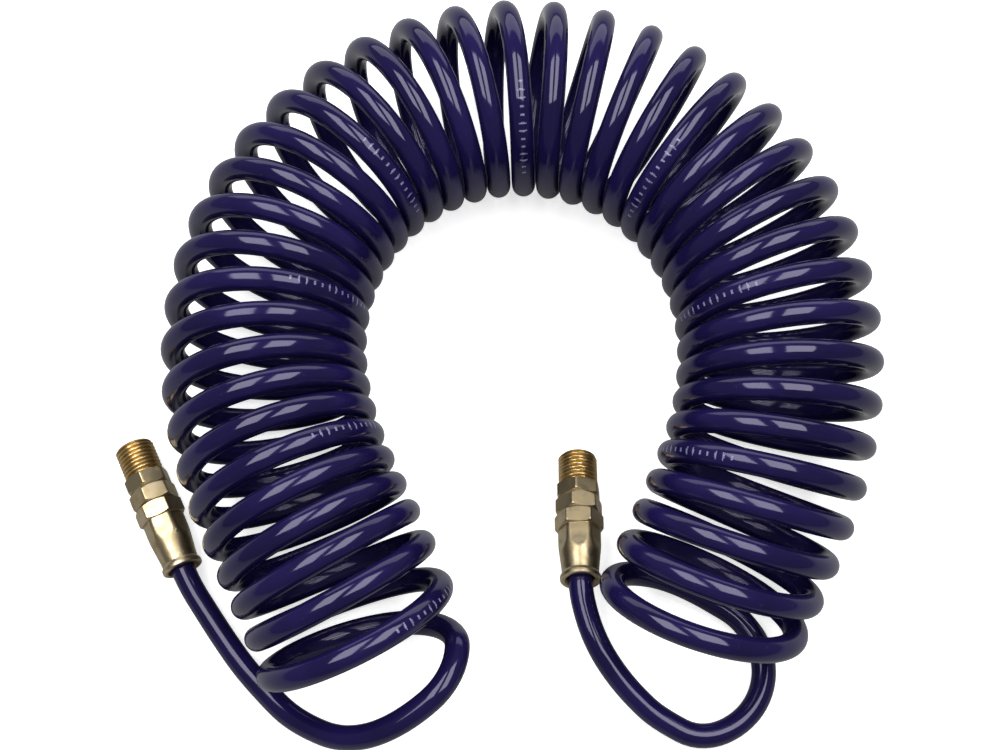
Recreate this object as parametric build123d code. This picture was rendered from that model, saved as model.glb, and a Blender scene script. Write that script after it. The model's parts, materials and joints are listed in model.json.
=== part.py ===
from build123d import *
import math
import os

# Coiled polyurethane air hose, lying in a horseshoe on a flat floor, with a swivelling G1/4 male
# fitting on each end.  Millimetres.  +Z is up, the floor is z = 0 and the horseshoe opens
# towards -Y.  The hose is divided into one-turn lengths at the inner side of the coil, where a
# real tube twists when the coil bends.

# ---- tube and coil ----
TUBE_OD = 8.0
TUBE_ID = 5.0
COIL_RADIUS = 30.0  # coil axis to tube axis
INNER_PITCH = 8.18  # from turn to turn, along the inner side of the horseshoe
TURN_GAP = 0.2  # left between two lengths of tube where they meet
LEFT_TURNS = 23  # whole turns on each side of the crown turn
RIGHT_TURNS = 16
CUT = 0.5  # turns are cut half a turn after their outermost point

# ---- horseshoe, seen from above ----
CROWN_RADIUS = 77.0
LEFT_LEG_RADIUS = 79.6
RIGHT_LEG_RADIUS = 74.8
CROWN_HALF_ANGLE = 76.5  # degrees, where the crown arc hands over to a leg arc
CROWN_HEADING = 23.5  # degrees, clockwise from +X, at the crown turn
STRAIGHTEN_TURNS = 8.3  # how gradually a leg straightens towards its end

# ---- lean of the turns towards the open ends, degrees ----
LEFT_LEAN = 7.8
RIGHT_LEAN = 20.3
LEAN_TURNS = 7.66
LEFT_END_LEAN = 23.9
RIGHT_END_LEAN = 14.4
END_LEAN_TURNS = 2.6

# ---- how far the last turns splay the other way, degrees per turn ----
LEFT_SPLAY = 6.7
RIGHT_SPLAY = 0.8
SPLAY_TURNS = 3.1

# ---- tails: points the free ends of the tube pass through ----
LEFT_TAIL = [
    (-54.5, -196.2, 35.3),
    (-69.6, -210.3, 31.0),
    (-86.9, -214.0, 22.0),
    (-103.0, -207.4, 14.0),
    (-118.6, -192.9, 9.2),
    (-132.8, -174.3, 7.6),
]
RIGHT_TAIL = [
    (30.0, -164.9, 4.9),
    (40.8, -172.7, 4.9),
    (46.3, -182.1, 5.0),
    (46.9, -192.0, 5.0),
    (38.6, -205.8, 5.2),
    (27.1, -210.4, 5.6),
    (12.6, -204.9, 7.2),
    (3.6, -197.3, 9.8),
    (-10.3, -175.4, 16.2),
]

# ---- where each fitting lies: mouth centre, heading from +Y towards -X, dip of the thread ----
LEFT_MOUTH = (-144.3, -155.5, 7.85)
LEFT_HEADING = 24.4
LEFT_DIP = 0.0
RIGHT_MOUTH = (-12.8, -162.0, 17.2)
RIGHT_HEADING = 0.0
RIGHT_DIP = 13.0

# ---- fitting, measured along its axis from the mouth of the clamp nut ----
COLLAR_LENGTH = 2.2
SLEEVE_END = 13.2
FLATS_END = 18.6
NUT_LENGTH = 24.2
STEM_HEX_START = 24.5
STEM_HEX_END = 30.0
STUD_START = 30.4
THREAD_START = 35.6
FITTING_LENGTH = 47.0

COLLAR_OD = 13.6
SLEEVE_NECK_OD = 12.2
SLEEVE_OD = 14.2
SLEEVE_FLATS = 13.0  # across the six flats milled on the sleeve
NUT_HEX = 14.3  # across flats
STEM_HEX = 14.0
STUD_HEX = 13.6
HEX_CHAMFER = 0.75
HEX_CHAMFER_ANGLE = 30.0
NUT_TURN = -4.0  # degrees each hexagon is turned about the axis
STEM_TURN = 12.0
STUD_TURN = 22.0

MOUTH_BORE = 10.2
TUBE_BORE = 8.16
NUT_THREAD_BORE = 10.1
TUBE_END = 20.3  # how far the tube reaches into the nut
SPIGOT_START = 7.0
SPIGOT_OD = 4.96
BARB_COUNT = 3
BARB_PITCH = 3.6
BARB_DEPTH = 0.25
STEM_THREAD_START = 20.5
STEM_THREAD_OD = 10.0
STEM_BORE = 3.4

# ---- swivel between stem and stud ----
JOURNAL_OD = 8.0
JOURNAL_END = 41.2
SOCKET_BORE = 8.1
SOCKET_END = 41.6
WASHER_OD = 12.2
WASHER_THICKNESS = 0.3
ORING_AT = 38.6
ORING_SECTION = 1.1
ORING_GROOVE_OD = 5.7
ORING_GROOVE_WIDTH = 1.4
SNAP_AT = 34.0
SNAP_WIDTH = 0.8
SNAP_OD = 8.9
SNAP_ID = 7.0
SNAP_PLAY = 0.05
SNAP_OPENING = 40.0  # degrees

# ---- G1/4 external thread ----
THREAD_OD = 13.157
THREAD_ROOT = 11.445
THREAD_PITCH = 1.337
THREAD_CREST = 0.3
RELIEF_OD = 11.2
RELIEF_LENGTH = 1.2
TIP_CHAMFER = 0.9
STUD_BORE = 5.2

# ---- foot of the crown turn, seen from the middle of the whole object's footprint ----
FRAME_SHIFT = (40.905, 88.87)

STATIONS = 64  # steps per turn when the horseshoe is walked
SPANS_PER_TURN = 6  # pairs of arcs that make one turn of the tube
TAIL_LIFT = 0.25  # added per twelfth of a turn so that the free end clears the floor


def lean_at(turn):
    """Lean of a turn along the hose, in radians: each leg leans towards its own open end."""
    left_end = LEFT_TURNS + CUT + turn
    right_end = RIGHT_TURNS + CUT - turn
    lean = 0.0
    for sign, gentle, steep, from_end in (
        (-1, LEFT_LEAN, LEFT_END_LEAN, max(left_end, 0.0)),
        (1, RIGHT_LEAN, RIGHT_END_LEAN, max(right_end, 0.0)),
    ):
        lean += sign * gentle * math.exp(-from_end / LEAN_TURNS)
        lean += sign * steep * math.exp(-from_end / END_LEAN_TURNS)
    return math.radians(lean)


def walk_leg(sign, turns, leg_radius, splay):
    """Base point and heading along one leg, every 1/STATIONS turn from the crown to its end.

    Neighbouring turns touch on the inside of the bend, or on its outside where the leg splays.
    """
    x = y = angle = 0.0
    stations = []
    for i in range(int((turns + 1) * STATIONS) + 1):
        stations.append((x, y, sign * angle))
        left_over = max(turns - i / STATIONS, 0.0)
        radius = CROWN_RADIUS if angle < math.radians(CROWN_HALF_ANGLE) else leg_radius
        bend = INNER_PITCH / (radius - COIL_RADIUS)
        bend *= 1 - math.exp(-left_over / STRAIGHTEN_TURNS)
        bend -= math.radians(splay) * math.exp(-left_over / SPLAY_TURNS)
        middle = sign * (angle + bend / STATIONS / 2)
        pitch = INNER_PITCH / math.cos(lean_at(sign * i / STATIONS))
        step = (pitch + COIL_RADIUS * abs(bend)) / STATIONS
        x += sign * math.cos(middle) * step
        y -= sign * math.sin(middle) * step
        angle += bend / STATIONS
    return stations


LEFT_WALK = walk_leg(-1, LEFT_TURNS + CUT, LEFT_LEG_RADIUS, LEFT_SPLAY)
RIGHT_WALK = walk_leg(1, RIGHT_TURNS + CUT, RIGHT_LEG_RADIUS, RIGHT_SPLAY)


def shifted(point):
    """A point of the horseshoe in the object's own frame."""
    return Vector(point[0] + FRAME_SHIFT[0], point[1] + FRAME_SHIFT[1], point[2])


def coil_point(turn):
    """Tube axis at a turn number: 0 is the crown, whole numbers are outermost points."""
    walk = LEFT_WALK if turn < 0 else RIGHT_WALK
    at = min(abs(turn) * STATIONS, len(walk) - 1.001)
    i = int(at)
    x, y, angle = (a + (b - a) * (at - i) for a, b in zip(walk[i], walk[i + 1]))
    crown = math.radians(CROWN_HEADING)
    heading = angle + crown
    base_x = x * math.cos(crown) + y * math.sin(crown)
    base_y = y * math.cos(crown) - x * math.sin(crown)
    out = COIL_RADIUS * math.cos(2 * math.pi * turn)
    rise = COIL_RADIUS * (1 + math.sin(2 * math.pi * turn))
    forward = rise * math.sin(lean_at(turn))
    return shifted(
        (
            base_x + out * math.sin(heading) + forward * math.cos(heading),
            base_y + out * math.cos(heading) - forward * math.sin(heading),
            TUBE_OD / 2 + rise * math.cos(lean_at(turn)),
        )
    )


def coil_tangent(turn):
    """Unit vector along the tube at a turn number, towards higher numbers."""
    small = 0.25 / STATIONS
    return (coil_point(turn + small) - coil_point(turn - small)).normalized()


def ends_and_wall(path, diameter):
    """The two flat ends, nearest the path's start first, and the wall of a round bar swept on it."""
    start = Plane(path @ 0, z_dir=path % 0)
    faces = sweep(start * Circle(diameter / 2), path).faces()
    ends = faces.filter_by(GeomType.PLANE).sort_by(lambda f: (f.center() - start.origin).length)
    return ends, [f for f in faces if f.geom_type != GeomType.PLANE]


def tube_length(path):
    """The hollow tube along a path of arcs and lines, closed by a flat ring at each end."""
    outer_ends, outer_wall = ends_and_wall(path, TUBE_OD)
    inner_ends, inner_wall = ends_and_wall(path, TUBE_ID)
    rings = [Face(a.outer_wire(), [b.outer_wire()]) for a, b in zip(outer_ends, inner_ends)]
    return Solid(Shell(outer_wall + inner_wall + rings))


def cut_margin():
    """Half the gap between two lengths, as a part of a turn."""
    return TURN_GAP / 2 / (2 * math.pi * COIL_RADIUS)


def arc_pair(start, start_tangent, end, end_tangent):
    """Two arcs that leave one point and reach the other in the given directions."""
    across = end - start
    both = start_tangent + end_tangent
    spread = 2 * (1 - start_tangent.dot(end_tangent))
    along = 2 * across.dot(both)
    reach = 2 * across.length**2 / (along + math.sqrt(along**2 + 4 * spread * across.length**2))
    middle = (start + end + (start_tangent - end_tangent) * reach) / 2
    first = Edge.make_tangent_arc(start, start_tangent, middle)
    return [first, Edge.make_tangent_arc(middle, first % 1, end)]


def arcs_through(points, tangents):
    """A smooth chain of arcs through points, in the given directions."""
    edges = []
    for i in range(len(points) - 1):
        edges += arc_pair(points[i], tangents[i], points[i + 1], tangents[i + 1])
    return edges


def coil_arcs(first, last, spans):
    """Arcs along the coil between two turn numbers."""
    turns = [first + (last - first) * i / spans for i in range(spans + 1)]
    return arcs_through([coil_point(t) for t in turns], [coil_tangent(t) for t in turns])


def coil_turn(turn):
    """The one-turn length whose outermost point is at this turn number."""
    first = turn - CUT + cut_margin()
    last = turn + CUT - cut_margin()
    return tube_length(Wire(coil_arcs(first, last, SPANS_PER_TURN)))


def fitting_plane(mouth, heading, dip):
    """Frame of a fitting: origin at the nut's mouth, +Z along the axis to the thread's tip."""
    turn, drop = math.radians(heading), math.radians(dip)
    axis = Vector(
        -math.sin(turn) * math.cos(drop),
        math.cos(turn) * math.cos(drop),
        -math.sin(drop),
    )
    across = Vector(math.cos(turn), math.sin(turn), 0)
    return Plane(shifted(mouth), x_dir=across, z_dir=axis)


LEFT_FITTING = fitting_plane(LEFT_MOUTH, LEFT_HEADING, LEFT_DIP)
RIGHT_FITTING = fitting_plane(RIGHT_MOUTH, RIGHT_HEADING, RIGHT_DIP)


def free_tangents(points, first, last):
    """Directions through points: at each inner one, that of the circle through it and its neighbours."""
    steps = [b - a for a, b in zip(points, points[1:])]
    inner = [a / a.length**2 + b / b.length**2 for a, b in zip(steps, steps[1:])]
    return [first] + [v.normalized() for v in inner] + [last]


def tail_into(fitting, points, tangent):
    """A free end of the tube, from the coil through its points and into a fitting."""
    mouth = fitting.origin
    points = points + [mouth]
    arcs = arcs_through(points, free_tangents(points, tangent, fitting.z_dir))
    inside = Edge.make_line(mouth, mouth + fitting.z_dir * TUBE_END)
    return tube_length(Wire(arcs + [inside]))


def left_tail():
    """Last length of tube on the left, in the direction it leaves the coil."""
    start = -(LEFT_TURNS + CUT + cut_margin())
    points = [coil_point(start)] + [shifted(p) for p in LEFT_TAIL]
    return tail_into(LEFT_FITTING, points, -coil_tangent(start))


def right_tail():
    """Last length of tube on the right: down and under the coil, then along the floor."""
    start = RIGHT_TURNS + CUT + cut_margin()
    under = [coil_point(start + i / 12) + Vector(0, 0, i * TAIL_LIFT) for i in range(3)]
    points = under + [shifted(p) for p in RIGHT_TAIL]
    return tail_into(RIGHT_FITTING, points, coil_tangent(start))


def disc(diameter, start, end):
    """A solid cylinder on the fitting's axis."""
    return Pos(0, 0, start) * extrude(Circle(diameter / 2), end - start)


def ring(outer, inner, start, end):
    """A hollow cylinder on the fitting's axis."""
    return disc(outer, start, end) - disc(inner, start, end)


def hexagon(flats, start, end, turned):
    """A hexagonal length of bar with both ends chamfered by turning."""
    outline = RegularPolygon(flats / 2, 6, major_radius=False, rotation=turned)
    bar = Pos(0, 0, start) * extrude(outline, end - start)
    corner = flats / math.sqrt(3)
    rise = HEX_CHAMFER * math.tan(math.radians(HEX_CHAMFER_ANGLE))
    profile = Polyline(
        (0, start),
        (corner - HEX_CHAMFER, start),
        (corner + HEX_CHAMFER, start + 2 * rise),
        (corner + HEX_CHAMFER, end - 2 * rise),
        (corner - HEX_CHAMFER, end),
        (0, end),
        close=True,
    )
    return bar & turned_solid(profile)


def turned_solid(profile):
    """A solid turned about the fitting's axis from a closed outline of radius and height."""
    return revolve(Plane.XZ * make_face(profile), Axis.Z)


def sleeve():
    """Outside of the clamp nut below its hexagon: flared mouth, waisted cone and six flats."""
    neck, body = SLEEVE_NECK_OD / 2, SLEEVE_OD / 2
    collar, edge = COLLAR_OD / 2, 0.4
    lower = Polyline(
        (0, 0),
        (collar - edge, 0),
        (collar, edge),
        (collar, COLLAR_LENGTH - 2 * edge),
        (neck, COLLAR_LENGTH + edge),
    )
    waist = Spline(
        (neck, COLLAR_LENGTH + edge),
        (neck + 0.25, COLLAR_LENGTH + 0.35 * SLEEVE_END),
        (body, SLEEVE_END),
        tangents=[(0.0, 1.0), (0.0, 1.0)],
    )
    upper = Polyline((body, SLEEVE_END), (body, FLATS_END + 1), (0, FLATS_END + 1), (0, 0))
    solid = revolve(Plane.XZ * make_face(lower + waist + upper), Axis.Z)
    flats = RegularPolygon(SLEEVE_FLATS / 2, 6, major_radius=False, rotation=NUT_TURN)
    tool = Pos(0, 0, SLEEVE_END) * extrude(Circle(SLEEVE_OD) - flats, FLATS_END - SLEEVE_END)
    run_out = Pos(0, 0, SLEEVE_END) * extrude(flats, -2 * SLEEVE_FLATS, taper=-8)
    below = Pos(0, 0, SLEEVE_END) * extrude(Circle(SLEEVE_OD), -SLEEVE_END)
    return solid - tool - (below - run_out)


def clamp_nut():
    """Nut that clamps the tube on the spigot: hexagon, sleeve and bell mouth."""
    outside = sleeve() + hexagon(NUT_HEX, FLATS_END, NUT_LENGTH, NUT_TURN)
    mouth, bore = MOUTH_BORE / 2, TUBE_BORE / 2
    bell = Polyline((0, 0), (mouth, 0), (mouth - 0.7, 1.2), (bore, 4.0), (0, 4.0), close=True)
    outside -= turned_solid(bell)
    outside -= disc(TUBE_BORE, 0, NUT_LENGTH)
    return outside - disc(NUT_THREAD_BORE, TUBE_END + 0.1, NUT_LENGTH)


def barb_cut(i):
    """One saw-tooth relief between the barbs of the spigot."""
    top = SPIGOT_START + (i + 1) * BARB_PITCH
    radius = SPIGOT_OD / 2
    return turned_solid(
        Polyline(
            (radius + 0.1, top - BARB_PITCH + 0.6),
            (radius + 0.1, top),
            (radius - BARB_DEPTH, top),
            (radius, top - BARB_PITCH + 0.6),
            close=True,
        )
    )


def stem():
    """Hose stem: barbed spigot, thread for the nut, hexagon and swivel journal, bored through."""
    solid = hexagon(STEM_HEX, STEM_HEX_START, STEM_HEX_END, STEM_TURN)
    solid += disc(STEM_THREAD_OD, STEM_THREAD_START, STEM_HEX_START)
    solid += disc(SPIGOT_OD, SPIGOT_START, STEM_THREAD_START)
    solid += disc(JOURNAL_OD, STEM_HEX_END, JOURNAL_END)
    for i in range(BARB_COUNT):
        solid -= barb_cut(i)
    oring_low = ORING_AT - ORING_GROOVE_WIDTH / 2
    solid -= ring(SLEEVE_OD, ORING_GROOVE_OD, oring_low, oring_low + ORING_GROOVE_WIDTH)
    snap_low = SNAP_AT - SNAP_WIDTH / 2 - SNAP_PLAY
    snap_floor = SNAP_ID - 2 * SNAP_PLAY
    solid -= ring(SLEEVE_OD, snap_floor, snap_low, snap_low + SNAP_WIDTH + 2 * SNAP_PLAY)
    return solid - disc(STEM_BORE, SPIGOT_START, JOURNAL_END)


def thread_grooves():
    """The V grooves of the external thread, as rings at the thread's pitch."""
    crest, root = THREAD_OD / 2, THREAD_ROOT / 2
    half = (THREAD_PITCH - THREAD_CREST) / 2
    first = THREAD_START + RELIEF_LENGTH + THREAD_PITCH / 2
    count = int((FITTING_LENGTH - TIP_CHAMFER - first) / THREAD_PITCH) + 1
    grooves = []
    for i in range(count):
        middle = first + i * THREAD_PITCH
        outline = Polyline(
            (crest + 0.2, middle - half),
            (crest, middle - half),
            (root, middle - 0.1),
            (root, middle + 0.1),
            (crest, middle + half),
            (crest + 0.2, middle + half),
            close=True,
        )
        grooves.append(turned_solid(outline))
    return grooves


def stud():
    """Swivelling stud: hexagon, G1/4 thread and the socket that turns on the stem."""
    solid = hexagon(STUD_HEX, STUD_START, THREAD_START, STUD_TURN)
    tip = THREAD_OD / 2 - TIP_CHAMFER
    solid += turned_solid(
        Polyline(
            (0, THREAD_START),
            (RELIEF_OD / 2, THREAD_START),
            (RELIEF_OD / 2, THREAD_START + RELIEF_LENGTH - 0.6),
            (THREAD_OD / 2, THREAD_START + RELIEF_LENGTH),
            (THREAD_OD / 2, FITTING_LENGTH - TIP_CHAMFER),
            (tip, FITTING_LENGTH),
            (0, FITTING_LENGTH),
            close=True,
        )
    )
    for groove in thread_grooves():
        solid -= groove
    solid -= disc(SOCKET_BORE, STUD_START, SOCKET_END)
    snap_low = SNAP_AT - SNAP_WIDTH / 2 - SNAP_PLAY
    snap_wall = SNAP_OD + 2 * SNAP_PLAY
    solid -= disc(snap_wall, snap_low, snap_low + SNAP_WIDTH + 2 * SNAP_PLAY)
    return solid - disc(STUD_BORE, SOCKET_END, FITTING_LENGTH)


def thrust_washer():
    """Low-friction washer between the two hexagons of the swivel."""
    middle = (STEM_HEX_END + STUD_START) / 2
    low, high = middle - WASHER_THICKNESS / 2, middle + WASHER_THICKNESS / 2
    return ring(WASHER_OD, SOCKET_BORE, low, high)


def swivel_oring():
    """Rubber ring that seals the journal in its socket."""
    centre = (ORING_GROOVE_OD + ORING_SECTION) / 2 + 0.03
    return Pos(0, 0, ORING_AT) * Torus(centre, ORING_SECTION / 2)


def snap_ring():
    """Open spring ring that holds the stud on the stem."""
    low = SNAP_AT - SNAP_WIDTH / 2
    full = ring(SNAP_OD, SNAP_ID, low, low + SNAP_WIDTH)
    half = math.radians(SNAP_OPENING / 2)
    reach = SNAP_OD
    corner = (reach * math.cos(half), reach * math.sin(half))
    mirror_corner = (corner[0], -corner[1])
    wedge = make_face(Polyline((0, 0), corner, mirror_corner, close=True))
    return full - Pos(0, 0, low - 1) * extrude(wedge, SNAP_WIDTH + 2)


FITTING_PIECES = {
    "clamp_nut": clamp_nut,
    "hose_stem": stem,
    "thrust_washer": thrust_washer,
    "swivel_oring": swivel_oring,
    "snap_ring": snap_ring,
    "threaded_stud": stud,
}


def turn_name(turn):
    """Node name of a one-turn length, counted from the crown."""
    if turn == 0:
        return "turn_crown"
    side = "left" if turn < 0 else "right"
    return f"turn_{side}_{abs(turn):02d}"


def write(name, shape):
    shape.label = name
    export_step(shape, f"parts/{name}.step")


def main():
    os.makedirs("parts", exist_ok=True)
    for turn in range(-LEFT_TURNS, RIGHT_TURNS + 1):
        write(turn_name(turn), coil_turn(turn))
    write("tail_left", left_tail())
    write("tail_right", right_tail())
    for name, make in FITTING_PIECES.items():
        piece = make()
        for side, plane in (("left", LEFT_FITTING), ("right", RIGHT_FITTING)):
            write(f"{name}_{side}", plane.location * piece)


if __name__ == "__main__":
    main()
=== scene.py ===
import json
import math

import bpy
import numpy as np
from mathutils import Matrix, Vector


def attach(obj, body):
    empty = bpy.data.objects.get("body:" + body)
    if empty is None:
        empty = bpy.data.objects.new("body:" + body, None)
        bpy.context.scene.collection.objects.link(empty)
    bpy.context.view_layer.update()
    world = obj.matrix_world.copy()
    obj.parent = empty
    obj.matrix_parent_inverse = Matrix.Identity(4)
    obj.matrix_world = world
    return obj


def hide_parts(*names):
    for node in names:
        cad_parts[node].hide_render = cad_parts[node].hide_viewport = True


# The looks of the coiled air hose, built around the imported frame.  Lengths of the hose are in
# millimetres here until a mesh is made, which is in metres; the floor and the lights are in metres.
# Angles are in degrees where they are named values, and turns of the coil count from its crown.

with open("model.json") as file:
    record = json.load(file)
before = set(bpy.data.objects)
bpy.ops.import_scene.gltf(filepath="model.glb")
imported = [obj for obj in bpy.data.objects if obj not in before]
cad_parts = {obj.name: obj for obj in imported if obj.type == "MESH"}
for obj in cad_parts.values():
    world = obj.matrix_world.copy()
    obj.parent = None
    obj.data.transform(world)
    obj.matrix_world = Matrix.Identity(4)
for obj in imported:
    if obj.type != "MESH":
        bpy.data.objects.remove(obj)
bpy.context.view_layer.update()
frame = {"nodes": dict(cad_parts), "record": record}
RECORD = frame["record"]
MM = 0.001

# ---- tube and coil ----
TUBE_RADIUS = 4.0
TUBE_BORE_RADIUS = 2.5
COIL_RADIUS = 30.0
INNER_PITCH = 8.18  # from turn to turn at the inner side of the bend
LEFT_TURNS = 23
RIGHT_TURNS = 16
CROWN_RADIUS = 77.0
LEG_RADIUS = {"left": 79.6, "right": 74.8}
CROWN_HALF_ANGLE = 76.5  # where the crown's radius gives way to a leg's
CROWN_HEADING = 23.5  # of the crown turn, clockwise from +X seen from above
STRAIGHTEN_TURNS = 8.3  # how far from an end the bend begins to fade
LEAN = {"left": (7.8, 23.9), "right": (20.3, 14.4)}  # gentle and steep part, at the ends
LEAN_TURNS = 7.66  # how far from an end the gentle part reaches
END_LEAN_TURNS = 2.6  # and the steep part
SPLAY = {"left": 6.7, "right": 0.8}  # outward bend of each turn, at the ends
SPLAY_TURNS = 3.1  # how far from an end it reaches
STATIONS = 64  # steps in a turn where the path is worked out
TAIL_LIFT = 0.25  # rise of the right tail in each of its first twelfths of a turn
SIGN = {"left": -1, "right": 1}
TURNS = {"left": LEFT_TURNS, "right": RIGHT_TURNS}
ONE_TURN = 2 * math.pi * COIL_RADIUS  # length of tube in one turn

# ---- points that the free ends of the tube pass through, from the crown turn's foot ----
TAIL_POINTS = {
    "left": [
        (-54.5, -196.2, 35.3),
        (-69.6, -210.3, 31.0),
        (-86.9, -214.0, 22.0),
        (-103.0, -207.4, 14.0),
        (-118.6, -192.9, 9.2),
        (-132.8, -174.3, 7.6),
    ],
    "right": [
        (30.0, -164.9, 4.9),
        (40.8, -172.7, 4.9),
        (46.3, -182.1, 5.0),
        (46.9, -192.0, 5.0),
        (38.6, -205.8, 5.2),
        (27.1, -210.4, 5.6),
        (12.6, -204.9, 7.2),
        (3.6, -197.3, 9.8),
        (-10.3, -175.4, 16.2),
    ],
}

# ---- fitting, along its axis from the nut's mouth ----
SWIVEL_AT = 36.0  # where the record's swivel joint sits
TUBE_END = 20.3  # just short of the stem's shoulder
THREAD_START = 35.6
THREAD_PITCH = 1.337
THREAD_CREST_RADIUS = 13.157 / 2
THREAD_ROOT_RADIUS = 11.445 / 2
FITTING_LENGTH = 47.0
HEX_CHAMFER = 1.0
HEX_CHAMFER_ANGLE = 36.0
SOFT_CORNER = 28.6  # degrees from a flat to where a hexagon's softened corner begins
CORNER_AT = {"clamp_nut": -4.0, "hose_stem": 12.0, "threaded_stud": 22.0}  # turn of each hexagon

# ---- clamp nut: a waisted sleeve that grows towards the hexagon, with six flats ----
WAIST_AT = 2.6
WAIST_RADIUS = 6.1
SLEEVE_TOP = 13.2
SLEEVE_RADIUS = 7.1
SLEEVE_FLAT = 6.45
FLAT_RUN_OUT = 6.0  # degrees by which the flats open towards the mouth

# ---- thread, as a trapezoid whose height goes from 0 at the root to 1 at the crest ----
THREAD_RELIEF_END = 36.2
THREAD_ROOT_SHARE = 0.1
THREAD_FLANK_SHARE = 0.68
THREAD_RUN_IN = 1.63  # rise of the first thread's radius over its height
THREAD_TIP_CHAMFER = 0.9
THREAD_ROWS = 84

# ---- mesh density ----
STEPS_PER_TURN = 72
TUBE_SIDES = 28
SEAM = 0.012  # each length of tube ends this far short of its cut plane
TAIL_SPACING = 2.4  # between the rows of a tail's mesh
SECTOR = 60
HEX_SECTOR = (-30, -29, -27.5, -24, -18, -10, 0, 10, 18, 24, 27.5, 29)  # degrees from a flat
SHARP_ANGLE = 26  # faces of a fitting that meet at more than this have a hard edge

# ---- printed marks on the tube: rows of ticks on the outer side ----
MARK_EVERY = 5  # turns
MARK_AT = 22.62
MARK_HALF_ROW = 0.0165  # of the distance between rows
TICKS_PER_TURN = 76.0
TICKS_PER_GROUP = 4
LONG_SHARE = 0.26  # of each group, the part whose ticks are long
SHORT_TICK = 0.17  # half height, in radians about the tube
LONGER_TICK = 0.16  # what a long tick has more

# ---- stage ----
FLOOR_HALF = 3.0
FLOOR_DROP = -0.0004
FLOOR_GLOW = 0.66  # light of its own, so that the soft shadows stay faint
FLOOR_BOUNCE = 0.3  # what the floor reflects at the hose
SOFTBOX_X = {"softbox_left": -0.42, "softbox_right": 0.38}
SOFTBOX_HEIGHT = 0.95
SOFTBOX_SIZE = (0.56, 0.95)
SOFTBOX_POWER = 9.6
BACKDROP_PLACE = (0.0, 1.3, 0.45)
BACKDROP_SIZE = (2.2, 0.7)
BACKDROP_POWER = 7.0
ROOM_LIGHT = 0.16

# ---- camera: in front of the open side of the horseshoe, looking steeply down ----
CAMERA_FROM_FOOT = (-39.112, -322.193, 627.783)  # from the crown turn's foot
CAMERA_DOWN = 69.19
CAMERA_LENS = 69.26
SENSOR_WIDTH = 36.0


# ---------------------------------------------------------------- path of the tube
def lean_at(turn):
    """Lean of a turn along the hose, in radians."""
    lean = 0.0
    for side, sign in SIGN.items():
        gentle, steep = LEAN[side]
        left_over = max(TURNS[side] + 0.5 - sign * turn, 0.0)
        lean += sign * gentle * math.exp(-left_over / LEAN_TURNS)
        lean += sign * steep * math.exp(-left_over / END_LEAN_TURNS)
    return math.radians(lean)


def walk_leg(side):
    """Base point and heading along one leg, every 1/STATIONS turn from the crown to its end."""
    sign, turns = SIGN[side], TURNS[side] + 0.5
    x = y = angle = 0.0
    stations = []
    for i in range(int((turns + 1) * STATIONS) + 1):
        stations.append((x, y, sign * angle))
        left_over = max(turns - i / STATIONS, 0.0)
        radius = CROWN_RADIUS if angle < math.radians(CROWN_HALF_ANGLE) else LEG_RADIUS[side]
        bend = INNER_PITCH / (radius - COIL_RADIUS)
        bend *= 1 - math.exp(-left_over / STRAIGHTEN_TURNS)
        bend -= math.radians(SPLAY[side]) * math.exp(-left_over / SPLAY_TURNS)
        middle = sign * (angle + bend / STATIONS / 2)
        pitch = INNER_PITCH / math.cos(lean_at(sign * i / STATIONS))
        step = (pitch + COIL_RADIUS * abs(bend)) / STATIONS
        x += sign * math.cos(middle) * step
        y -= sign * math.sin(middle) * step
        angle += bend / STATIONS
    return np.array(stations)


WALK = {side: walk_leg(side) for side in SIGN}


def coil_frame(turn):
    """Tube axis and outward direction at a turn number, from the crown turn's foot."""
    walk = WALK["left"] if turn < 0 else WALK["right"]
    at = min(abs(turn) * STATIONS, len(walk) - 1.001)
    i = int(at)
    x, y, angle = walk[i] + (walk[i + 1] - walk[i]) * (at - i)
    crown = math.radians(CROWN_HEADING)
    heading = angle + crown
    base = np.array(
        [
            x * math.cos(crown) + y * math.sin(crown),
            y * math.cos(crown) - x * math.sin(crown),
            TUBE_RADIUS,
        ]
    )
    lean = lean_at(turn)
    outward = np.array([math.sin(heading), math.cos(heading), 0.0])
    ahead = np.array([math.cos(heading), -math.sin(heading), 0.0])
    upward = ahead * math.sin(lean) + np.array([0.0, 0.0, math.cos(lean)])
    spoke = outward * math.cos(2 * math.pi * turn) + upward * math.sin(2 * math.pi * turn)
    return base + COIL_RADIUS * (upward + spoke), spoke


def joint_named(name):
    """A joint of the record."""
    return next(j for j in RECORD["behaviour"]["joints"] if j["name"] == name)


# The first joint on the left sits on the tube's axis half a turn from the crown, which ties the
# path to the frame.
SHIFT = np.array(joint_named("left_leg_flex")["pos_m"]) / MM - coil_frame(-0.5)[0]


def coil_point(turn):
    """The tube's axis at a turn number, in the frame of the whole hose."""
    return coil_frame(turn)[0] + SHIFT


def coil_tangent(turn):
    """Unit vector along the tube, towards higher turn numbers."""
    small = 0.25 / STATIONS
    step = coil_point(turn + small) - coil_point(turn - small)
    return step / np.linalg.norm(step)


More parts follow.
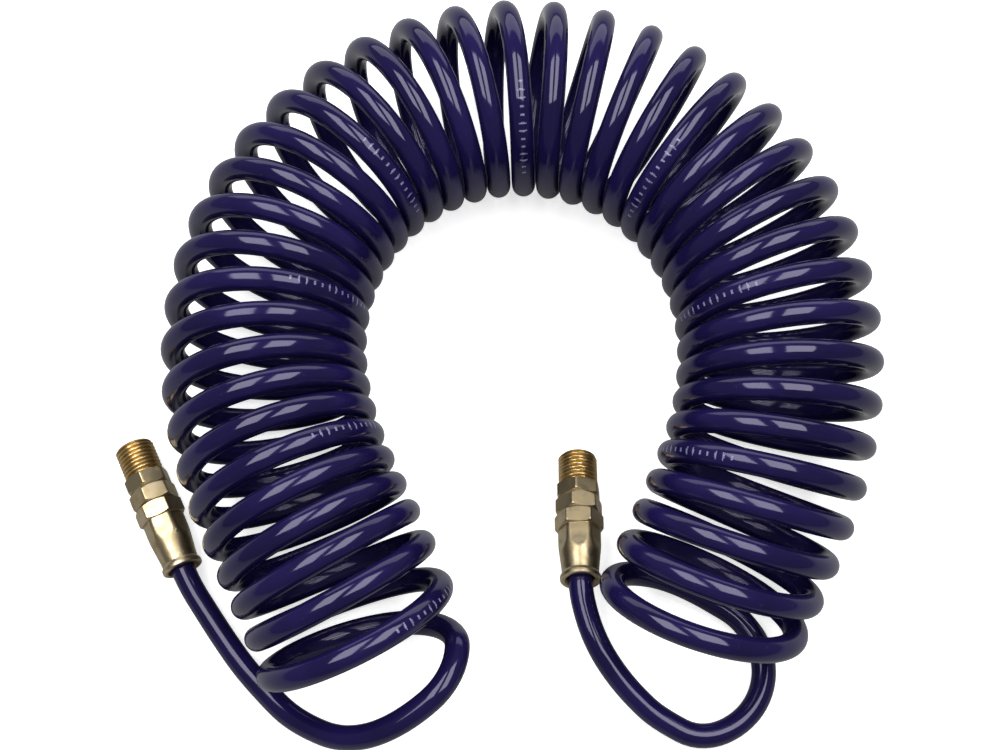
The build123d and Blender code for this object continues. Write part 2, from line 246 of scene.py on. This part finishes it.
def arc_samples(start, tangent, end, spacing):
    """Points and tangents of the arc from start, in a direction, to end."""
    chord = end - start
    reach = np.linalg.norm(chord)
    along = chord / reach
    half = math.acos(max(-1.0, min(1.0, float(tangent @ along))))
    length = reach * half / math.sin(half) if half > 1e-6 else reach
    count = max(2, int(math.ceil(length / spacing)))
    side = tangent - along * (tangent @ along)
    size = np.linalg.norm(side)
    points, tangents = [], []
    for k in range(1, count + 1):
        turned = 2 * half * k / count
        if size < 1e-6:
            points.append(start + chord * k / count)
            tangents.append(along)
            continue
        bend = (along - tangent * (tangent @ along)) / math.sin(half)
        radius = length / (2 * half)
        points.append(start + radius * (tangent * math.sin(turned) + bend * (1 - math.cos(turned))))
        tangents.append(tangent * math.cos(turned) + bend * math.sin(turned))
    return points, tangents


def arc_pair(start, start_tangent, end, end_tangent, spacing):
    """Points and tangents of two arcs that join two points in the given directions."""
    across = end - start
    both = start_tangent + end_tangent
    spread = 2 * (1 - start_tangent @ end_tangent)
    along = 2 * across @ both
    square = across @ across
    reach = 2 * square / (along + math.sqrt(along**2 + 4 * spread * square))
    middle = (start + end + (start_tangent - end_tangent) * reach) / 2
    points, tangents = arc_samples(start, start_tangent, middle, spacing)
    more, more_tangents = arc_samples(middle, tangents[-1], end, spacing)
    return points + more, tangents + more_tangents


def chain(points, first, last, spacing):
    """A smooth chain of arcs through points, leaving and arriving in the given directions."""
    steps = [b - a for a, b in zip(points, points[1:])]
    inner = [a / (a @ a) + b / (b @ b) for a, b in zip(steps, steps[1:])]
    ways = [first] + [v / np.linalg.norm(v) for v in inner] + [last]
    out, tangents = [points[0]], [first]
    for i in range(len(steps)):
        more, more_tangents = arc_pair(points[i], ways[i], points[i + 1], ways[i + 1], spacing)
        out += more
        tangents += more_tangents
    return np.array(out), np.array(tangents)


# ---------------------------------------------------------------- meshes
def new_object(name, vertices, faces, sharp_angle=None, normals=None, floats=None):
    """A mesh object in metres with float attributes on its vertices."""
    mesh = bpy.data.meshes.new(name)
    mesh.from_pydata((np.asarray(vertices) * MM).tolist(), [], faces)
    mesh.update()
    mesh.shade_smooth()
    for key, values in (floats or {}).items():
        layer = mesh.attributes.new(key, "FLOAT", "POINT")
        layer.data.foreach_set("value", np.asarray(values, dtype=np.float32))
    if sharp_angle:
        mesh.set_sharp_from_angle(angle=math.radians(sharp_angle))
    if normals is not None:
        mesh.normals_split_custom_set(normals)
    obj = bpy.data.objects.new(name, mesh)
    bpy.context.scene.collection.objects.link(obj)
    return obj


def tube_object(name, centres, tangents, spokes, turns):
    """A hollow length of tube, closed by a flat ring at each end."""
    angles = math.pi + 2 * math.pi * np.arange(TUBE_SIDES + 1) / TUBE_SIDES
    spokes = spokes - tangents * np.sum(spokes * tangents, axis=1)[:, None]
    spokes /= np.linalg.norm(spokes, axis=1)[:, None]
    sides = np.cross(tangents, spokes)
    way = (
        spokes[:, None, :] * np.cos(angles[:TUBE_SIDES])[None, :, None]
        + sides[:, None, :] * np.sin(angles[:TUBE_SIDES])[None, :, None]
    )
    rows = len(centres)
    outer = (centres[:, None, :] + way * TUBE_RADIUS).reshape(-1, 3)
    inner = (centres[:, None, :] + way * TUBE_BORE_RADIUS).reshape(-1, 3)
    count = rows * TUBE_SIDES
    faces, normals = [], []
    flat_way = way.reshape(-1, 3)
    for i in range(rows - 1):
        for k in range(TUBE_SIDES):
            a = i * TUBE_SIDES + k
            b = i * TUBE_SIDES + (k + 1) % TUBE_SIDES
            c, d = b + TUBE_SIDES, a + TUBE_SIDES
            faces.append((a, b, c, d))
            normals += [flat_way[a], flat_way[b], flat_way[c], flat_way[d]]
            faces.append((count + a, count + d, count + c, count + b))
            normals += [-flat_way[a], -flat_way[d], -flat_way[c], -flat_way[b]]
    last = (rows - 1) * TUBE_SIDES
    for k in range(TUBE_SIDES):
        n = (k + 1) % TUBE_SIDES
        faces.append((k, count + k, count + n, n))
        normals += [-tangents[0]] * 4
        faces.append((last + k, last + n, count + last + n, count + last + k))
        normals += [tangents[-1]] * 4
    around = np.tile(((angles[:TUBE_SIDES] + math.pi) % (2 * math.pi)) - math.pi, rows)
    along = np.repeat(turns, TUBE_SIDES)
    floats = {"turn": np.concatenate([along, along]), "around": np.concatenate([around, around])}
    return new_object(name, np.concatenate([outer, inner]), faces, None, normals, floats)


def coil_turn_object(turn, name):
    """The one-turn length whose outermost point is at this turn number."""
    reach = 0.5 - SEAM / ONE_TURN
    turns = np.linspace(turn - reach, turn + reach, STEPS_PER_TURN + 1)
    frames = [coil_frame(t) for t in turns]
    centres = np.array([f[0] for f in frames]) + SHIFT
    spokes = np.array([f[1] for f in frames])
    tangents = np.array([coil_tangent(t) for t in turns])
    return tube_object(name, centres, tangents, spokes, turns)


def carried(spoke, tangents):
    """A direction carried along a path without twisting about it."""
    spokes = [spoke]
    for tangent in tangents[1:]:
        spoke = spoke - tangent * (spoke @ tangent)
        spoke = spoke / np.linalg.norm(spoke)
        spokes.append(spoke)
    return np.array(spokes)


def fitting_axes(side):
    """Mouth of the nut, direction to the thread's tip, and a level direction across it."""
    joint = joint_named(f"{side}_swivel")
    axis = np.array(joint["axis"])
    mouth = np.array(joint["pos_m"]) / MM - axis * SWIVEL_AT
    across = np.array([axis[1], -axis[0], 0.0])
    return mouth, axis, across / np.linalg.norm(across)


def tail_object(side, name):
    """The free end of the tube, from the coil's last cut into the fitting."""
    sign = SIGN[side]
    start = sign * (TURNS[side] + 0.5 + SEAM / ONE_TURN)
    mouth, axis, _ = fitting_axes(side)
    points = [coil_point(start)]
    if side == "right":
        for i in (1, 2):
            points.append(coil_point(start + i / 12) + np.array([0, 0, i * TAIL_LIFT]))
    points += [np.array(p) + SHIFT for p in TAIL_POINTS[side]] + [mouth]
    centres, tangents = chain(points, sign * coil_tangent(start), axis, TAIL_SPACING)
    depth = np.linspace(0, TUBE_END, 6)[1:]
    centres = np.concatenate([centres, mouth + axis * depth[:, None]])
    tangents = np.concatenate([tangents, np.tile(axis, (len(depth), 1))])
    spokes = carried(coil_frame(start)[1], tangents)
    lengths = np.linalg.norm(np.diff(centres, axis=0), axis=1)
    turns = start + sign * np.concatenate([[0], np.cumsum(lengths)]) / ONE_TURN
    return tube_object(name, centres, tangents, spokes, turns)


def lathe_object(name, side, outer, inner, turned):
    """A bored piece on a fitting's axis.

    outer holds rows of height, turned radius, distance to a hexagon's flats (or None), and how
    worn the row is, which also sets how much painted highlight it takes; inner holds rows of
    height and radius.  The radius of an outer row may be a function of the angle.  A hexagon has
    a corner at the angle turned, and a flat 30 degrees on.
    """
    mouth, axis, across = fitting_axes(side)
    upright = np.cross(axis, across)
    half = SECTOR / 2
    offsets = np.array([s + h for s in range(0, 360, SECTOR) for h in HEX_SECTOR])
    angles = np.radians(offsets + turned + half)
    from_flat = np.radians((offsets + half) % SECTOR - half)
    soft_corner = math.cos(math.radians(SOFT_CORNER))
    rows, wear_and_highlight_rows, heights = [], [], []
    for z, radius, flat, wear_and_highlight in outer:
        r = radius(angles) if callable(radius) else np.full(len(angles), float(radius))
        if flat:
            r = np.minimum(r, np.minimum(flat / np.cos(from_flat), flat / soft_corner))
        rows.append(r)
        wear_and_highlight_rows.append(np.full(len(angles), wear_and_highlight) if not callable(wear_and_highlight) else wear_and_highlight(angles))
        heights.append(z)
    for z, radius in reversed(inner):
        rows.append(np.full(len(angles), float(radius)))
        wear_and_highlight_rows.append(np.zeros(len(angles)))
        heights.append(z)
    around = across[None, :] * np.cos(angles)[:, None] + upright[None, :] * np.sin(angles)[:, None]
    vertices = np.concatenate(
        [mouth + axis * z + around * r[:, None] for z, r in zip(heights, rows)]
    )
    n, m = len(angles), len(rows)
    faces = []
    for i in range(m):
        j = (i + 1) % m
        for k in range(n):
            q = (k + 1) % n
            faces.append((i * n + k, i * n + q, j * n + q, j * n + k))
    floats = {
        "along": np.repeat(heights, n),
        "around": np.tile(angles, m),
        "wear_and_highlight": np.concatenate(wear_and_highlight_rows),
    }
    return new_object(name, vertices, faces, SHARP_ANGLE, None, floats)


def hex_rows(flats, start, end):
    """Outer rows of a hexagon whose two ends are chamfered by turning."""
    corner = flats / math.sqrt(3)
    apothem = flats / 2
    low = corner - HEX_CHAMFER
    rise = HEX_CHAMFER * math.tan(math.radians(HEX_CHAMFER_ANGLE))
    # the last value of a row is highest at the end edges: most rubbing and most painted highlight there
    rows = [(start, low - 0.12, apothem - 0.1, 0.9), (start + 0.1, low + 0.06, apothem, 0.8)]
    rows += [(start + rise * f, low + HEX_CHAMFER * f, apothem, 0.5) for f in (0.3, 0.55, 0.8, 1.0)]
    steps = 6
    span = end - start - 2 * rise
    rows += [(start + rise + span * k / steps, corner, apothem, 0.4) for k in range(1, steps)]
    rows += [(end - rise * f, low + HEX_CHAMFER * f, apothem, 0.5) for f in (1.0, 0.8, 0.55, 0.3)]
    rows += [(end - 0.1, low + 0.06, apothem, 0.8), (end, low - 0.12, apothem - 0.1, 0.9)]
    return rows


def clamp_nut_object(side, name):
    """Flared mouth, waisted sleeve with six flats, and the nut's hexagon."""
    # the mouth's rim has the highest last value: most rubbing and most painted highlight
    outer = [
        (0.0, 6.35, None, 0.9),
        (0.12, 6.62, None, 1.0),
        (0.35, 6.78, None, 0.9),
        (0.9, 6.8, None, 0.6),
        (1.3, 6.8, None, 0.7),
        (1.6, 6.72, None, 0.7),
        (2.0, 6.45, None, 0.3),
        (WAIST_AT, 6.12, None, 0.1),
    ]
    count = 18
    for k in range(1, count + 1):
        f = k / count
        z = WAIST_AT + (SLEEVE_TOP - WAIST_AT) * f
        swell = 0.62 * f + 0.38 * f * f * (3 - 2 * f)
        radius = WAIST_RADIUS + (SLEEVE_RADIUS - WAIST_RADIUS) * swell
        flat = SLEEVE_FLAT + (SLEEVE_TOP - z) * math.tan(math.radians(FLAT_RUN_OUT))
        outer.append((z, radius, flat, 0.3))
    outer += [(z, SLEEVE_RADIUS, SLEEVE_FLAT, 0.35) for z in (14.0, 15.5, 17.0, 18.3)]
    outer.append((18.55, 7.0, SLEEVE_FLAT, 0.1))
    outer += hex_rows(14.3, 18.6, 24.2)
    inner = [
        (0.0, 5.25),
        (0.15, 5.08),
        (1.2, 4.4),
        (4.0, 4.08),
        (12.0, 4.08),
        (20.4, 4.08),
        (20.42, 5.05),
        (24.2, 5.05),
    ]
    return lathe_object(name, side, outer, inner, CORNER_AT["clamp_nut"])


def hose_stem_object(side, name):
    """Barbed spigot, thread for the nut, hexagon and journal."""
    outer = [(7.0, 2.2, None, 0.5), (7.3, 2.45, None, 0.5)]
    for i in range(3):
        top = 7.0 + (i + 1) * 3.6
        outer += [(top - 3.0, 2.48, None, 0.5), (top - 0.05, 2.26, None, 0.2)]
        outer += [(top, 2.48, None, 0.9)]
    outer += [(20.45, 2.48, None, 0.3), (20.5, 4.9, None, 0.5), (20.7, 5.0, None, 0.6)]
    outer += [(24.45, 5.0, None, 0.1)]
    outer += hex_rows(14.0, 24.5, 30.0)
    outer += [(30.02, 4.0, None, 0.2), (33.54, 4.0, None, 0.2), (33.55, 3.45, None, 0.1)]
    outer += [(34.45, 3.45, None, 0.1), (34.46, 4.0, None, 0.3), (37.9, 4.0, None, 0.2)]
    outer += [(37.91, 2.85, None, 0.1), (39.29, 2.85, None, 0.1), (39.3, 4.0, None, 0.3)]
    outer += [(41.0, 4.0, None, 0.3), (41.2, 3.8, None, 0.5)]
    inner = [(7.0, 1.7), (24.0, 1.7), (41.2, 1.7)]
    return lathe_object(name, side, outer, inner, CORNER_AT["hose_stem"])


def threaded_stud_object(side, name):
    """Hexagon, relief and the right-handed G1/4 thread, cut as a true helix."""
    outer = hex_rows(13.6, 30.4, 35.6)
    depth = THREAD_CREST_RADIUS - THREAD_ROOT_RADIUS
    start, tip = THREAD_RELIEF_END, FITTING_LENGTH - THREAD_TIP_CHAMFER

    def thread_height(z, angles):
        """Height in the thread's form, 0 at the root and 1 at the crest, at each angle."""
        phase = (z / THREAD_PITCH - angles / (2 * math.pi)) % 1.0
        slope = np.abs(phase - 0.5) * 2
        return np.clip((slope - THREAD_ROOT_SHARE) / THREAD_FLANK_SHARE, 0.0, 1.0)

    def thread_radius(z, limit):
        return lambda angles: np.minimum(THREAD_ROOT_RADIUS + depth * thread_height(z, angles), limit)

    # crests get the most rubbing and painted highlight, roots the most tarnish
    def thread_wear_and_highlight(z):
        return lambda angles: thread_height(z, angles) ** 2

    outer += [(35.62, 5.7, None, 0.0), (35.8, 5.6, None, 0.0), (36.15, 5.6, None, 0.0)]
    for k in range(THREAD_ROWS + 1):
        z = start + (FITTING_LENGTH - 0.02 - start) * k / THREAD_ROWS
        limit = min(5.6 + (z - start) * THREAD_RUN_IN, THREAD_CREST_RADIUS)
        if z > tip:
            limit = min(limit, THREAD_CREST_RADIUS - (z - tip))
        outer.append((z, thread_radius(z, limit), None, thread_wear_and_highlight(z)))
    outer.append((FITTING_LENGTH, 5.55, None, 0.6))
    inner = [
        (30.4, 4.2),
        (30.6, 4.05),
        (33.5, 4.05),
        (33.51, 4.5),
        (34.49, 4.5),
        (34.5, 4.05),
        (41.6, 4.05),
        (41.65, 2.6),
        (46.5, 2.6),
        (46.9, 2.8),
        (47.0, 3.0),
    ]
    return lathe_object(name, side, outer, inner, CORNER_AT["threaded_stud"])


# ---------------------------------------------------------------- materials
class Graph:
    """A node material, made a node at a time."""

    def __init__(self, name):
        self.material = bpy.data.materials.new(name)
        self.material.use_nodes = True
        self.tree = self.material.node_tree
        self.shader = self.tree.nodes["Principled BSDF"]

    def node(self, kind, inputs=None, **settings):
        node = self.tree.nodes.new("ShaderNode" + kind)
        for key, value in settings.items():
            setattr(node, key, value)
        for key, value in (inputs or {}).items():
            self.put(node.inputs[key], value)
        return node

    def put(self, socket, value):
        if isinstance(value, bpy.types.NodeSocket):
            self.tree.links.new(value, socket)
        else:
            socket.default_value = value

    def maths(self, operation, a, b=None, clamp=False):
        node = self.node("Math", operation=operation, use_clamp=clamp)
        self.put(node.inputs[0], a)
        if b is not None:
            self.put(node.inputs[1], b)
        return node.outputs[0]

    def span(self, value, low, high, to_low=0.0, to_high=1.0):
        """A value mapped from one span to another, held at its ends."""
        node = self.node("MapRange", interpolation_type="SMOOTHSTEP")
        for i, v in enumerate((value, low, high, to_low, to_high)):
            self.put(node.inputs[i], v)
        return node.outputs[0]

    def mix(self, factor, a, b):
        node = self.node("Mix", data_type="RGBA")
        self.put(node.inputs[0], factor)
        self.put(node.inputs[6], a)
        self.put(node.inputs[7], b)
        return node.outputs[2]

    def noise(self, scale, detail=3.0, vector=None, roughness=0.5):
        node = self.node("TexNoise", {"Scale": scale, "Detail": detail, "Roughness": roughness})
        self.put(node.inputs["Vector"], vector or self.place())
        return node.outputs["Fac"]

    def place(self):
        return self.node("TexCoord").outputs["Object"]

    def value(self, name):
        return self.node("Attribute", attribute_name=name).outputs["Fac"]

    def bump(self, height, distance, strength=1.0, normal=None):
        inputs = {"Strength": strength, "Distance": distance, "Height": height}
        if normal is not None:
            inputs["Normal"] = normal
        return self.node("Bump", inputs).outputs["Normal"]

    def finish(self, **inputs):
        for key, value in inputs.items():
            self.put(self.shader.inputs[key.replace("_", " ")], value)
        return self.material


def tube_material():
    """Deep indigo polyurethane: glossy, faintly streaked by the die, with printed size ticks."""
    g = Graph("polyurethane_indigo")
    turn, around = g.value("turn"), g.value("around")
    # streaks left along the tube by the extrusion die
    lane = g.node("CombineXYZ", {"X": g.maths("MULTIPLY", turn, 6.0), "Z": 0.0})
    g.put(lane.inputs["Y"], g.maths("MULTIPLY", around, 9.0))
    streak = g.noise(1.0, 2.0, lane.outputs[0])
    cloud = g.noise(45.0, 3.0)
    dust = g.noise(900.0, 2.0)
    deep = (0.0062, 0.0042, 0.033, 1.0)
    lit = (0.0095, 0.0065, 0.052, 1.0)
    base = g.mix(g.span(cloud, 0.3, 0.7), deep, lit)
    base = g.mix(g.span(streak, 0.45, 0.8, 0.0, 0.35), base, (0.014, 0.01, 0.07, 1.0))
    base = g.mix(g.span(dust, 0.68, 0.8, 0.0, 0.06), base, (0.2, 0.2, 0.26, 1.0))
    # printed marks: a short row of ticks on the outer side, at even distances along the tube
    cell = g.maths("MULTIPLY", g.maths("ADD", turn, MARK_AT + MARK_EVERY / 2), 1 / MARK_EVERY)
    from_row = g.maths("ABSOLUTE", g.maths("SUBTRACT", g.maths("FRACT", cell), 0.5))
    in_row = g.maths("LESS_THAN", from_row, MARK_HALF_ROW)
    tick = g.maths("MULTIPLY", turn, TICKS_PER_TURN)
    stroke = g.span(g.maths("PINGPONG", tick, 0.5), 0.1, 0.15, 1.0, 0.0)
    group = g.maths("FRACT", g.maths("MULTIPLY", tick, 1 / TICKS_PER_GROUP))
    long = g.maths("LESS_THAN", group, LONG_SHARE)
    height = g.maths("ADD", g.maths("MULTIPLY", long, LONGER_TICK), SHORT_TICK)
    inside = g.maths("LESS_THAN", g.maths("ABSOLUTE", g.maths("ADD", around, 0.1)), height)
    faded = g.span(g.noise(1600.0, 2.0), 0.35, 0.6, 0.45, 0.85)
    ink = g.maths("MULTIPLY", g.maths("MULTIPLY", in_row, stroke), g.maths("MULTIPLY", inside, faded))
    base = g.mix(ink, base, (0.24, 0.24, 0.38, 1.0))
    rough = g.span(cloud, 0.3, 0.75, 0.07, 0.14)
    rough = g.maths("ADD", rough, g.maths("MULTIPLY", ink, 0.25))
    rough = g.maths("ADD", rough, g.span(dust, 0.64, 0.8, 0.0, 0.12))
    normal = g.bump(streak, 0.00004, 0.14)
    normal = g.bump(g.noise(160.0, 2.0), 0.0002, 0.12, normal)
    material = g.finish(Base_Color=base, Roughness=rough, Normal=normal, IOR=1.5)
    g.put(g.shader.inputs["Specular Tint"], (0.86, 0.8, 1.0, 1.0))
    return material


def brass_material():
    """Turned brass: fine tool lines round the axis, rubbed edges with a painted highlight on them, tarnish
    in hollows.
    """
    g = Graph("turned_brass")
    along, wear_and_highlight = g.value("along"), g.value("wear_and_highlight")
    lines = g.noise(1.0, 2.0, g.node("CombineXYZ", {"X": g.maths("MULTIPLY", along, 9.0)}).outputs[0])
    cloud = g.noise(260.0, 4.0)
    fine = g.noise(2600.0, 2.0)
    pale = (0.55, 0.455, 0.285, 1.0)
    warm = (0.47, 0.37, 0.21, 1.0)
    base = g.mix(g.span(cloud, 0.3, 0.72), pale, warm)
    gold = g.span(along, THREAD_START, THREAD_START + 0.8)
    base = g.mix(gold, base, (0.58, 0.41, 0.15, 1.0))
    tarnish = g.maths("MULTIPLY", g.span(cloud, 0.42, 0.68), g.span(wear_and_highlight, 0.5, 0.0, 0.05, 0.5))
    base = g.mix(tarnish, base, (0.24, 0.17, 0.08, 1.0))
    # painted highlight along with real rubbing: rows marked most worn (edges, thread crests, the nut's
    # mouth rim) are painted a paler, brighter brass
    base = g.mix(g.span(wear_and_highlight, 0.6, 1.0, 0.0, 0.55), base, (0.72, 0.62, 0.44, 1.0))
    base = g.mix(g.span(fine, 0.62, 0.78, 0.0, 0.3), base, (0.25, 0.17, 0.08, 1.0))
    rough = g.span(cloud, 0.3, 0.75, 0.3, 0.42)
    rough = g.maths("ADD", rough, g.span(lines, 0.4, 0.7, -0.03, 0.06))
    normal = g.bump(lines, 0.00003, 0.5)
    normal = g.bump(fine, 0.00002, 0.3, normal)
    return g.finish(Base_Color=base, Metallic=1.0, Roughness=rough, Normal=normal)


def small_material(name, colour, other, metallic, roughness):
    """A plain finish with fine grain, for the small parts inside the swivel."""
    g = Graph(name)
    cloud, fine = g.noise(400.0), g.noise(3000.0, 2.0)
    base = g.mix(g.span(cloud, 0.3, 0.7), colour, other)
    rough = g.span(fine, 0.3, 0.7, roughness - 0.06, roughness + 0.08)
    return g.finish(Base_Color=base, Metallic=metallic, Roughness=rough, Normal=g.bump(fine, 0.00003, 0.4))


def floor_material():
    """Pale floor with the faintest mottling, which throws little light back up at the hose."""
    g = Graph("pale_floor")
    cloud = g.noise(3.0, 2.0)
    seen = g.node("LightPath").outputs["Is Camera Ray"]
    base = g.mix(g.span(cloud, 0.3, 0.7), (0.86, 0.86, 0.87, 1.0), (0.9, 0.9, 0.9, 1.0))
    base = g.mix(seen, (FLOOR_BOUNCE, FLOOR_BOUNCE, FLOOR_BOUNCE, 1.0), base)
    g.put(g.shader.inputs["Emission Color"], (1.0, 1.0, 1.0, 1.0))
    g.put(g.shader.inputs["Emission Strength"], g.maths("MULTIPLY", seen, FLOOR_GLOW))
    return g.finish(Base_Color=base, Roughness=0.9)


TUBE_LOOK = tube_material()
BRASS_LOOK = brass_material()
SEAL_LOOK = small_material("seal_rubber", (0.012, 0.012, 0.013, 1), (0.03, 0.03, 0.03, 1), 0.0, 0.55)
WASHER_LOOK = small_material("white_washer", (0.78, 0.78, 0.74, 1), (0.66, 0.66, 0.62, 1), 0.0, 0.5)
SPRING_LOOK = small_material("spring_steel", (0.5, 0.5, 0.52, 1), (0.38, 0.38, 0.4, 1), 1.0, 0.3)


def dress(obj, look, body, node):
    """Gives a new piece its finish and its place in the table."""
    obj.data.materials.append(look)
    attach(obj, body)
    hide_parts(node)


# ---------------------------------------------------------------- the hose
def build_turns():
    dress(coil_turn_object(0, "hose_crown"), TUBE_LOOK, "crown", "turn_crown")
    for side, sign in SIGN.items():
        for k in range(1, TURNS[side] + 1):
            obj = coil_turn_object(sign * k, f"hose_{side}_{k:02d}")
            dress(obj, TUBE_LOOK, f"{side}_turn_{k:02d}", f"turn_{side}_{k:02d}")


def build_ends():
    makers = {
        "tail": (tail_object, "end", "tube", TUBE_LOOK),
        "clamp_nut": (clamp_nut_object, "end", "brass", BRASS_LOOK),
        "hose_stem": (hose_stem_object, "end", "brass", BRASS_LOOK),
        "threaded_stud": (threaded_stud_object, "stud", "brass", BRASS_LOOK),
    }
    for side in SIGN:
        for node, (make, body, slot, look) in makers.items():
            obj = make(side, f"{node}_{side}_finished")
            dress(obj, look, f"{side}_{body}", f"{node}_{side}")
        for node, look in (
            ("thrust_washer", WASHER_LOOK),
            ("swivel_oring", SEAL_LOOK),
            ("snap_ring", SPRING_LOOK),
        ):
            mesh = frame["nodes"][f"{node}_{side}"].data
            mesh.materials.clear()
            mesh.materials.append(look)


build_turns()
build_ends()


# ---------------------------------------------------------------- stage
def build_floor():
    mesh = bpy.data.meshes.new("floor")
    ways = ((-1, -1), (1, -1), (1, 1), (-1, 1))
    corners = [(x * FLOOR_HALF, y * FLOOR_HALF, FLOOR_DROP) for x, y in ways]
    mesh.from_pydata(corners, [], [(0, 1, 2, 3)])
    mesh.materials.append(floor_material())
    floor = bpy.data.objects.new("floor", mesh)
    bpy.context.scene.collection.objects.link(floor)


def area_light(name, place, target, size, power):
    """A soft box at a place, turned to face a target."""
    light = bpy.data.lights.new(name, "AREA")
    light.shape = "RECTANGLE"
    light.size, light.size_y = size
    light.energy = power
    obj = bpy.data.objects.new(name, light)
    obj.location = place
    obj.rotation_euler = (Vector(target) - Vector(place)).to_track_quat("-Z", "Y").to_euler()
    bpy.context.scene.collection.objects.link(obj)


def build_light():
    for name, x in SOFTBOX_X.items():
        area_light(name, (x, 0.04, SOFTBOX_HEIGHT), (x, 0.0, 0.0), SOFTBOX_SIZE, SOFTBOX_POWER)
    area_light("backdrop", BACKDROP_PLACE, (0.0, 0.0, 0.05), BACKDROP_SIZE, BACKDROP_POWER)
    world = bpy.data.worlds.new("studio")
    world.use_nodes = True
    background = world.node_tree.nodes["Background"]
    background.inputs["Color"].default_value = (0.9, 0.92, 1.0, 1.0)
    background.inputs["Strength"].default_value = ROOM_LIGHT
    bpy.context.scene.world = world
    bpy.context.scene.view_settings.view_transform = "Standard"


def build_camera():
    data = bpy.data.cameras.new("camera")
    data.sensor_width = SENSOR_WIDTH
    data.lens = CAMERA_LENS
    camera = bpy.data.objects.new("camera", data)
    camera.location = Vector((np.array(CAMERA_FROM_FOOT) + SHIFT) * MM)
    camera.rotation_euler = (math.radians(90 - CAMERA_DOWN), 0.0, 0.0)
    bpy.context.scene.collection.objects.link(camera)
    bpy.context.scene.camera = camera


build_floor()
build_light()
build_camera()
